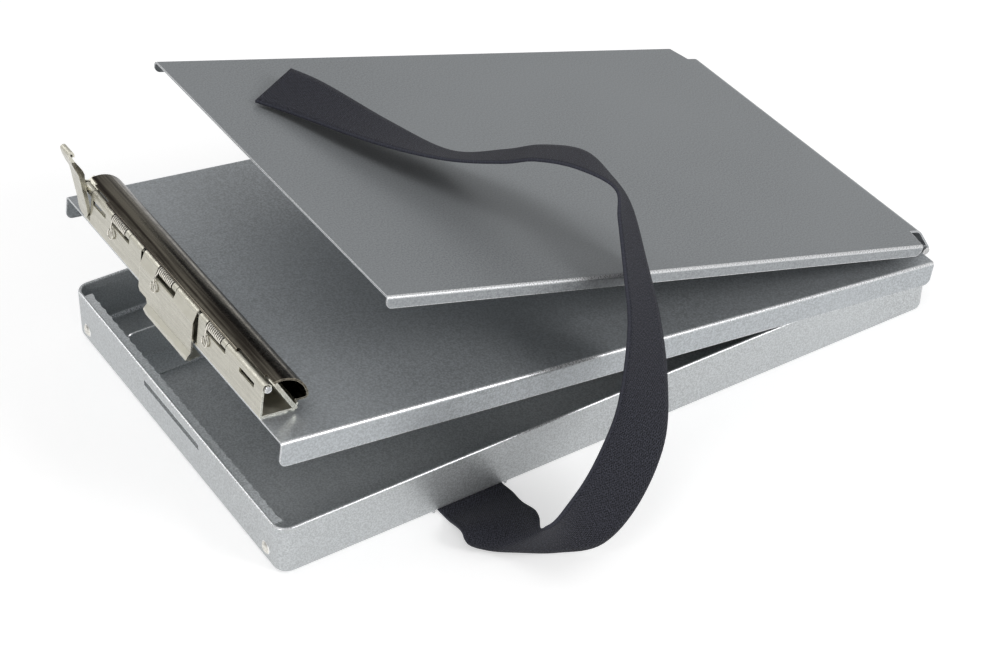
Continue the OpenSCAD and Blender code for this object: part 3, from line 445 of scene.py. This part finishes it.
def woven_strap(name, colour, threads):
    """Plain weave with lint and paler edges, laid out by the strap's UV map."""
    material, tree, shader = new_material(name)
    uv = tree.nodes.new("ShaderNodeUVMap")
    uv.uv_map = "weave"
    split = add(tree, "ShaderNodeSeparateXYZ", Vector=uv.outputs[0])
    across, along = split.outputs[0], split.outputs[1]
    # across runs 0 to 1 over the width; along is counted in widths
    waves = math.tau * threads
    warp = maths(tree, "SINE", maths(tree, "MULTIPLY", across, waves))
    weft = maths(tree, "SINE", maths(tree, "MULTIPLY", along, waves * 0.8))
    weave = maths(tree, "MULTIPLY", warp, weft)
    lit = smooth_range(tree, weave, -1.0, 1.0)
    lint = add(tree, "ShaderNodeTexNoise", Vector=uv.outputs[0], Scale=48.0, Detail=4.0)
    cloud = add(tree, "ShaderNodeTexNoise", Vector=uv.outputs[0], Scale=5.0, Detail=3.0)
    body = mixed(tree, lit, scaled(colour, 0.3), scaled(colour, 2.4))
    dust = smooth_range(tree, lint.outputs["Fac"], 0.46, 0.62, 0.0, 0.9)
    body = mixed(tree, dust, body, scaled(colour, 4.5))
    worn = smooth_range(tree, cloud.outputs["Fac"], 0.35, 0.7, 0.0, 0.25)
    body = mixed(tree, worn, body, scaled(colour, 2.0))
    off_middle = maths(tree, "ABSOLUTE", maths(tree, "SUBTRACT", across, 0.5))
    edge = smooth_range(tree, off_middle, 0.47, 0.5, 0.0, 0.5)
    body = mixed(tree, edge, body, scaled(colour, 5.0))
    tree.links.new(body, shader.inputs["Base Color"])
    shader.inputs["Roughness"].default_value = 0.85
    shader.inputs["Specular IOR Level"].default_value = 0.2
    shader.inputs["Sheen Weight"].default_value = 0.06
    shader.inputs["Sheen Roughness"].default_value = 0.4
    bump = add(tree, "ShaderNodeBump", Height=weave, Strength=0.5, Distance=0.0003)
    fuzz = add(
        tree,
        "ShaderNodeBump",
        Height=lint.outputs["Fac"],
        Strength=0.4,
        Distance=0.0004,
        Normal=bump.outputs[0],
    )
    tree.links.new(fuzz.outputs[0], shader.inputs["Normal"])
    return material


def dress(names, material):
    """Gives each named CAD part the material as its only one."""
    for name in names:
        obj = nodes[name]
        obj.data.materials.clear()
        obj.data.materials.append(material)


# ---------- springs ----------

# In millimetres in the clip's own frame, the same values as the solids are made from
PIN_U, PIN_N = 2.5, 16.7
BAY_W = 20.5
COIL_END_GAP = 1.4
COIL_PITCH = 1.45
LOOP_R, LOOP_N = 2.6, 8.2
JAW_SLOPE = math.radians(54.4)
# Corners of a back leg: along the jaw's slope from the pin, and out from it
LEG_CORNERS = ((0.5, 2.2), (5.8, 2.2), (6.8, 3.17), (7.4, 6.21), (11.2, 6.21))
# Each spring's middle along the pin, and where its loop hangs in front of the wall
SPRINGS = {
    "spring_near": (-48.5, -0.9),
    "spring_mid": (3.0, -2.6),
    "spring_far": (54.5, -0.9),
}
# The drawn coils are a little wider than those of the solids
COIL_R = 2.5
COIL_STEPS = 24


def smooth_wire(name, points, radius, material):
    """A round wire through the points, as a curve that rides with the writing plate."""
    curve = bpy.data.curves.new(name, "CURVE")
    curve.dimensions = "3D"
    curve.bevel_depth = radius
    curve.bevel_resolution = 3
    curve.use_fill_caps = True
    curve.resolution_u = 2
    spline = curve.splines.new("NURBS")
    spline.points.add(len(points) - 1)
    for item, place in zip(spline.points, points):
        item.co = (*place, 1.0)
    spline.order_u = 3
    spline.use_endpoint_u = True
    obj = new_object(name, curve)
    obj.data.materials.append(material)
    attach(obj, "plate_body")
    return obj


def rounded_path(points, reach):
    """The points with each corner cut by an arc's two ends and its middle."""
    path = [points[0]]
    for before, here, after in zip(points, points[1:], points[2:]):
        a = here + (before - here).normalized() * min(reach, (before - here).length / 2)
        b = here + (after - here).normalized() * min(reach, (after - here).length / 2)
        path += [a, (a + b + here * 2) / 4, b]
    return path + [points[-1]]


def spring_path(y_mid, front_u, turns):
    """Loop, neck, coil and back leg of one spring, in the clip's own frame, in millimetres."""
    start = y_mid + BAY_W / 2 - COIL_END_GAP
    end = start - turns * COIL_PITCH
    loop = [
        Vector((front_u, start + LOOP_R * math.sin(a), LOOP_N + LOOP_R * math.cos(a)))
        for a in (math.radians(degrees) for degrees in range(30, 331, 12))
    ]
    neck = rounded_path(
        [
            loop[-1],
            Vector((front_u, start - 0.24, LOOP_N + LOOP_R + 2)),
            Vector(((front_u + PIN_U - COIL_R) / 2, start, PIN_N - 2)),
            Vector((PIN_U - COIL_R, start, PIN_N)),
        ],
        reach=0.8,
    )
    coil = []
    for i in range(int(turns * COIL_STEPS) + 1):
        a = math.pi - i * math.tau / COIL_STEPS
        y = start - i * COIL_PITCH / COIL_STEPS
        coil.append(Vector((PIN_U + COIL_R * math.cos(a), y, PIN_N + COIL_R * math.sin(a))))
    along = Vector((math.cos(JAW_SLOPE), 0, -math.sin(JAW_SLOPE)))
    out = Vector((math.sin(JAW_SLOPE), 0, math.cos(JAW_SLOPE)))
    coil_end = Vector((PIN_U, end, PIN_N))
    leg = [coil_end + along * s + out * t for s, t in LEG_CORNERS]
    return loop + neck[1:-1] + coil + rounded_path(leg, reach=0.7)


# ---------- strap ----------

# Middle of the strap in millimetres from its foot, and the direction across it, from
# the channel under the tray floor to the free end over the cover
STRAP_FOOT = Vector((-96, -114.5, 1.05)) * MM
STRAP_WAY = (
    (0, 18, 0), (0, 6, 0), (0, -1, 0), (0, -9, 1), (-4, -28, 9), (-7, -48, 14),
    (-2, -58, 18), (10, -63, 19), (27, -66, 25), (46, -61, 36), (65, -51, 53),
    (75, -40, 73), (82, -27, 98), (86, -12, 119), (91, 6, 140), (95, 23, 147),
    (87, 40, 153), (75, 59, 150), (64, 74, 143), (46, 98, 136), (27, 130, 138),
    (8, 173, 141), (-3, 191, 143),
)
STRAP_TURN = (
    (-38, 0, 0), (-38, 0, 0), (-38, 0, 0), (-38, 1, -1), (-36, 0, 0),
    (-16, 22, -25), (-1, 20, -31), (9, 11, -35), (13, -6, -36), (19, -10, -31),
    (28, -5, -26), (32, 6, -20), (30, 14, -19), (28, 20, -16), (25, 24, -16),
    (18, 29, -16), (23, 27, -14), (22, 27, -15), (21, 27, -16), (21, 26, -18),
    (24, 26, -11), (30, 22, -4), (32, 20, -2),
)


def eased(points, i, f):
    """Point between station i and the next one, on a smooth curve through them all."""
    last = len(points) - 1
    a, b, c, d = (Vector(points[max(0, min(last, i + k))]) for k in (-1, 0, 1, 2))
    return 0.5 * (
        2 * b
        + f * (c - a)
        + f * f * (2 * a - 5 * b + 4 * c - d)
        + f * f * f * (3 * b - 3 * c + d - a)
    )


def strap_stations(steps):
    """Matrices that carry a line across the strap to each place along it."""
    count = (len(STRAP_WAY) - 1) * steps
    spots = [
        STRAP_FOOT + eased(STRAP_WAY, i // steps, (i % steps) / steps) * MM
        for i in range(count + 1)
    ]
    sides = [
        eased(STRAP_TURN, i // steps, (i % steps) / steps).normalized()
        for i in range(count + 1)
    ]
    stations = []
    for i, (spot, side) in enumerate(zip(spots, sides)):
        ahead = (spots[min(i + 1, count)] - spots[max(i - 1, 0)]).normalized()
        face = ahead.cross(side).normalized()
        ahead = side.cross(face)
        turn = Matrix((side, ahead, face)).transposed().to_4x4()
        stations.append(Matrix.Translation(spot) @ turn)
    return stations


def strap_mesh(width, across_n, steps):
    """The strap's middle surface, swept by extruding a line from place to place."""
    stations = strap_stations(steps)
    bm = bmesh.new()
    layer = bm.loops.layers.uv.new("weave")
    row = [
        bm.verts.new(stations[0] @ Vector(((k / across_n - 0.5) * width, 0, 0)))
        for k in range(across_n + 1)
    ]
    line = [bm.edges.new(pair) for pair in zip(row, row[1:])]
    place = {v: (k / across_n, 0.0) for k, v in enumerate(row)}
    along = 0.0
    for before, here in zip(stations, stations[1:]):
        along += (here.translation - before.translation).length
        grown = bmesh.ops.extrude_edge_only(bm, edges=line)["geom"]
        new = [g for g in grown if isinstance(g, bmesh.types.BMVert)]
        line = [g for g in grown if isinstance(g, bmesh.types.BMEdge)]
        line = [e for e in line if all(v in new for v in e.verts)]
        bmesh.ops.transform(bm, matrix=here @ before.inverted(), verts=new)
        flat = here.inverted()
        for v in new:
            place[v] = ((flat @ v.co).x / width + 0.5, along / width)
    for f in bm.faces:
        f.smooth = True
        for loop in f.loops:
            loop[layer].uv = place[loop.vert]
    bmesh.ops.recalc_face_normals(bm, faces=bm.faces)
    return bm, along


# ---------- operators ----------


# Each lamp's place and size, and its share of the key lamp's power
LAMPS = {
    "key": ((0.9, -1.5, 1.2), 0.9, 1.0),
    "front": ((-1.9, -0.9, 0.55), 1.0, 0.5),
    "top": ((-0.3, 0.2, 2.4), 1.4, 0.45),
    "back": ((-0.9, 1.7, 1.6), 0.9, 0.5),
}
LAMP_AIM = Vector((0, 0, 0.05))
FLOOR_REACH = 6
# How much of full white the floor adds where it is seen directly or mirrored
FLOOR_GLOW = 0.49


class CLIPBOX_OT_stage(bpy.types.Operator):
    """Lay the floor, hang the lamps and set up the camera"""

    bl_idname = "clipbox.stage"
    bl_label = "Stage"

    def execute(self, context):
        settings = context.scene.clipbox_stage
        context.scene.view_settings.view_transform = "Standard"
        self.camera(context.scene)
        bm = bmesh.new()
        bmesh.ops.create_grid(bm, x_segments=2, y_segments=2, size=FLOOR_REACH)
        floor = finish_mesh("floor", bm)
        floor.data.materials.append(self.floor_material(settings))
        self.sky(context.scene, settings.sky_level)
        for name, (place, size, share) in LAMPS.items():
            self.lamp(name, place, size, settings.key_power * share)
        return {"FINISHED"}

    def camera(self, scene):
        """The scene's camera, by the place it stands at, its view and what is up."""
        eye = Vector((-604.87, -892.63, 850.05)) * MM
        ahead = Vector((0.436012, 0.651339, -0.621008)).normalized()
        up = Vector((0.324279, 0.529990, 0.783552)).normalized()
        right = ahead.cross(up)
        lens = bpy.data.cameras.new("camera")
        lens.lens = 90.02
        lens.sensor_width = 36
        lens.sensor_fit = "HORIZONTAL"
        lens.clip_start = 0.01
        lens.clip_end = 30
        camera = new_object("camera", lens)
        turn = Matrix((right, up, -ahead)).transposed().to_4x4()
        camera.matrix_world = Matrix.Translation(eye) @ turn
        scene.camera = camera

    def sky(self, scene, level):
        """Even white light from all round."""
        world = bpy.data.worlds.new("studio")
        scene.world = world
        world.use_nodes = True
        tree = world.node_tree
        tree.nodes.clear()
        out = tree.nodes.new("ShaderNodeOutputWorld")
        soft = add(tree, "ShaderNodeBackground", Strength=level, Color=(1, 1, 1, 1))
        tree.links.new(soft.outputs[0], out.inputs["Surface"])

    def seen_directly(self, tree):
        """1 for rays that come from the camera, a mirror or a glass."""
        rays = tree.nodes.new("ShaderNodeLightPath").outputs
        seen = maths(tree, "MAXIMUM", rays["Is Camera Ray"], rays["Is Glossy Ray"])
        return maths(tree, "MAXIMUM", seen, rays["Is Transmission Ray"])

    def floor_material(self, settings):
        """Matt pale floor that lets the background stay white."""
        material, tree, shader = new_material("pale_floor")
        coords = tree.nodes.new("ShaderNodeTexCoord").outputs["Object"]
        cloud = add(tree, "ShaderNodeTexNoise", Vector=coords, Scale=3.0)
        colour = settings.floor_colour
        body = mixed(
            tree, cloud.outputs["Fac"], scaled(colour, 0.995), scaled(colour, 1.005)
        )
        tree.links.new(body, shader.inputs["Base Color"])
        shader.inputs["Roughness"].default_value = 0.9
        shader.inputs["Specular IOR Level"].default_value = 0.1
        shader.inputs["Emission Color"].default_value = (1, 1, 1, 1)
        glow = maths(tree, "MULTIPLY", self.seen_directly(tree), FLOOR_GLOW)
        tree.links.new(glow, shader.inputs["Emission Strength"])
        return material

    def lamp(self, name, place, size, power):
        """A round soft lamp that faces the box."""
        light = bpy.data.lights.new(name, "AREA")
        light.shape = "DISK"
        light.size = size
        light.energy = power
        spot = Vector(place)
        aim = (LAMP_AIM - spot).to_track_quat("-Z", "Y")
        turn = aim.to_matrix().to_4x4()
        new_object(name, light).matrix_world = Matrix.Translation(spot) @ turn


class CLIPBOX_OT_sheet_metal(bpy.types.Operator):
    """Give the tray, divider, writing plate and cover their satin aluminium"""

    bl_idname = "clipbox.sheet_metal"
    bl_label = "Sheet metal"

    def execute(self, context):
        metal = context.scene.clipbox_metal
        edge, grain = metal.edge_highlight_colour, metal.grain_size
        dress(
            ["tray"],
            satin_aluminium("tray_aluminium", metal.tray_colour, edge, grain),
        )
        # The front lip and divider are the tray's aluminium painted 1.3 times lighter, to lift
        # the shade inside the tray
        dress(
            ["front_lip", "divider"],
            satin_aluminium(
                "insert_aluminium", scaled(metal.tray_colour, 1.3), edge, grain
            ),
        )
        dress(
            ["writing_plate"],
            satin_aluminium(
                "plate_aluminium", metal.plate_colour, edge, grain, PLATE_OPEN
            ),
        )
        # The cover gets 0.7 of the plate's colour; the plate is painted lighter than the cover
        # to lift the shade the cover casts on it
        dress(
            ["cover"],
            satin_aluminium(
                "cover_aluminium",
                scaled(metal.plate_colour, 0.7),
                edge,
                grain,
                PLATE_OPEN + COVER_LIFT,
            ),
        )
        return {"FINISHED"}


class CLIPBOX_OT_hinge(bpy.types.Operator):
    """Give the hinge leaves, the pin and the strap's plate their finish"""

    bl_idname = "clipbox.hinge"
    bl_label = "Hinge"

    def execute(self, context):
        metal = context.scene.clipbox_metal
        dress(
            ["tray_hinge_leaf", "plate_hinge_leaf", "strap_plate"],
            satin_aluminium(
                "leaf_aluminium",
                scaled(metal.tray_colour, 1.1),
                metal.edge_highlight_colour,
                metal.grain_size,
                0.0,
                0.34,
            ),
        )
        dress(
            ["hinge_pin", "clip_pin"],
            plated_nickel("pin_steel", (0.6, 0.6, 0.6), (0.4, 0.4, 0.4)),
        )
        return {"FINISHED"}


class CLIPBOX_OT_rivets(bpy.types.Operator):
    """Give the rivets their pale finish"""

    bl_idname = "clipbox.rivets"
    bl_label = "Rivets"

    def execute(self, context):
        metal = context.scene.clipbox_metal
        pale = plated_nickel(
            "rivet_nickel",
            metal.rivet_colour,
            scaled(metal.rivet_colour, 0.75),
            (1, 1, 1),
            0.3,
        )
        dress([name for name in nodes if name.endswith("_rivets")], pale)
        return {"FINISHED"}


class CLIPBOX_OT_clip(bpy.types.Operator):
    """Give the clip's base, jaw, latch and lever their nickel plating"""

    bl_idname = "clipbox.clip"
    bl_label = "Clip"

    def execute(self, context):
        metal = context.scene.clipbox_metal
        nickel = metal.nickel_colour
        bright = plated_nickel(
            "clip_nickel",
            nickel,
            scaled(nickel, 0.88),
            (1, 0.05, 1),
            0.24,
            PLATE_OPEN,
            # painted highlight on the clip's up-facing faces
            0.9,
        )
        brushed = plated_nickel(
            "jaw_nickel",
            (0.22, 0.20, 0.16),
            (0.035, 0.028, 0.022),
            (0.45, 0.012, 0.45),
            0.24,
            PLATE_OPEN,
        )
        dress(["clip_base", "jaw_plate", "latch", "lever"], bright)
        dress(["jaw_bar"], brushed)
        return {"FINISHED"}


class CLIPBOX_OT_springs(bpy.types.Operator):
    """Wind the clip's three wire springs"""

    bl_idname = "clipbox.springs"
    bl_label = "Springs"

    def execute(self, context):
        settings = context.scene.clipbox_springs
        steel = plated_nickel(
            "spring_wire", (0.78, 0.75, 0.68), (0.6, 0.57, 0.5), (1, 1, 1), 0.25
        )
        for name, (y_mid, front_u) in SPRINGS.items():
            path = spring_path(y_mid, front_u, settings.turns)
            points = [CLIP_FRAME @ (p * MM) for p in path]
            wire = smooth_wire(f"wire_{name}", points, settings.wire / 2, steel)
            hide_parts(name)
        return {"FINISHED"}


class CLIPBOX_OT_strap(bpy.types.Operator):
    """Weave the strap from the tray's channel to its free end"""

    bl_idname = "clipbox.strap"
    bl_label = "Strap"

    def execute(self, context):
        settings = context.scene.clipbox_strap
        woven = woven_strap("strap_weave", settings.colour, settings.threads)
        bm, length = strap_mesh(settings.width, across_n=10, steps=8)
        strap = finish_mesh("woven_strap", bm)
        strap.data.materials.append(woven)
        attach(strap, "tray_body")
        wall = strap.modifiers.new("wall", "SOLIDIFY")
        wall.thickness = settings.thickness
        wall.offset = 0
        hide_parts("strap")
        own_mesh(strap)
        return {"FINISHED"}


class CLIPBOX_PT_panel(bpy.types.Panel):
    """Settings and operators of the clipboard box"""

    bl_idname = "CLIPBOX_PT_panel"
    bl_label = "Clipboard box"
    bl_space_type = "VIEW_3D"
    bl_region_type = "UI"
    bl_category = "Clipboard box"

    def draw(self, context):
        for group in SETTINGS:
            box = self.layout.box()
            settings = getattr(context.scene, group)
            for item in settings.bl_rna.properties:
                if item.identifier not in {"rna_type", "name"}:
                    box.prop(settings, item.identifier)
        for operator in OPERATORS:
            self.layout.operator(operator.bl_idname)


SETTINGS = {
    "clipbox_stage": ClipboxStageSettings,
    "clipbox_metal": ClipboxMetalSettings,
    "clipbox_springs": ClipboxSpringSettings,
    "clipbox_strap": ClipboxStrapSettings,
}

OPERATORS = (
    CLIPBOX_OT_stage,
    CLIPBOX_OT_sheet_metal,
    CLIPBOX_OT_hinge,
    CLIPBOX_OT_rivets,
    CLIPBOX_OT_clip,
    CLIPBOX_OT_springs,
    CLIPBOX_OT_strap,
)


def register():
    for cls in (*SETTINGS.values(), *OPERATORS, CLIPBOX_PT_panel):
        bpy.utils.register_class(cls)
    for group, cls in SETTINGS.items():
        setattr(bpy.types.Scene, group, PointerProperty(type=cls))


def unregister():
    for group in SETTINGS:
        delattr(bpy.types.Scene, group)
    for cls in (CLIPBOX_PT_panel, *reversed(OPERATORS), *reversed(SETTINGS.values())):
        bpy.utils.unregister_class(cls)


def main():
    register()
    for operator in OPERATORS:
        group, name = operator.bl_idname.split(".")
        getattr(getattr(bpy.ops, group), name)()


if __name__ == "__main__":
    main()
